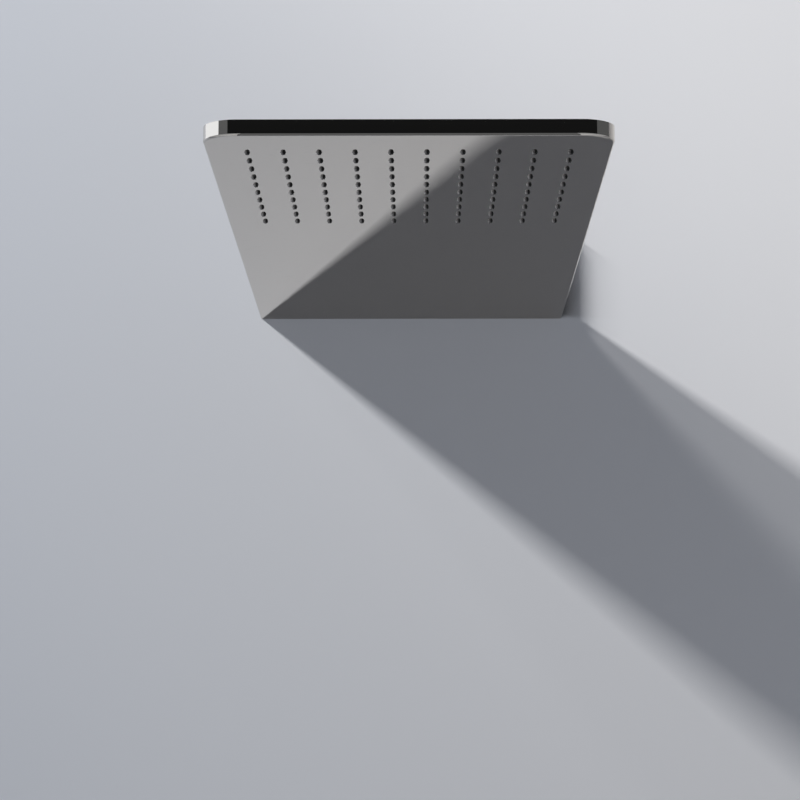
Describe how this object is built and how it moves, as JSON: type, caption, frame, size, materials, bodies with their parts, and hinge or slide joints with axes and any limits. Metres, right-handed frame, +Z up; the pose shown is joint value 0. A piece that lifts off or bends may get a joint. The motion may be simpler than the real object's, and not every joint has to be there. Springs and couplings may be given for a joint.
{
  "type": "rain shower panel",
  "caption": "Slim polished rain shower panel that stands out from a wall, with rounded front corners, a square field of dark nozzles below, and a wall bracket and threaded inlet at the rear.",
  "frame": {"origin": "where the axis of the water inlet meets the wall plane", "axes": "+Y into the wall along the inlet axis, -Y out over the shower, +Z up, X across the panel"},
  "size_m": [0.2, 0.514, 0.0623],
  "materials": {
    "polished_steel": "mirror polished",
    "plain_steel": "mill finish",
    "zinc_steel": "zinc plated",
    "brass": "turned",
    "silicone": "satin",
    "moulded_plastic": "moulded"
  },
  "bodies": {
    "root": {"face_tray": "polished_steel", "top_sheet": "polished_steel", "wall_cover": "polished_steel", "nozzle_mat": "silicone", "spigot_seal": "silicone", "chamber_cover": "plain_steel", "spreader": "plain_steel", "feed_duct": "plain_steel", "channel_left": "plain_steel", "channel_right": "plain_steel", "front_stiffener": "plain_steel", "lock_screw_left": "zinc_steel", "lock_screw_right": "zinc_steel", "wall_bracket": "zinc_steel", "inlet_block": "brass", "inlet_nipple": "brass", "duct_rest_1": "moulded_plastic", "duct_rest_2": "moulded_plastic", "arm_cap_left": "moulded_plastic", "arm_cap_right": "moulded_plastic"}
  },
  "joints": []
}
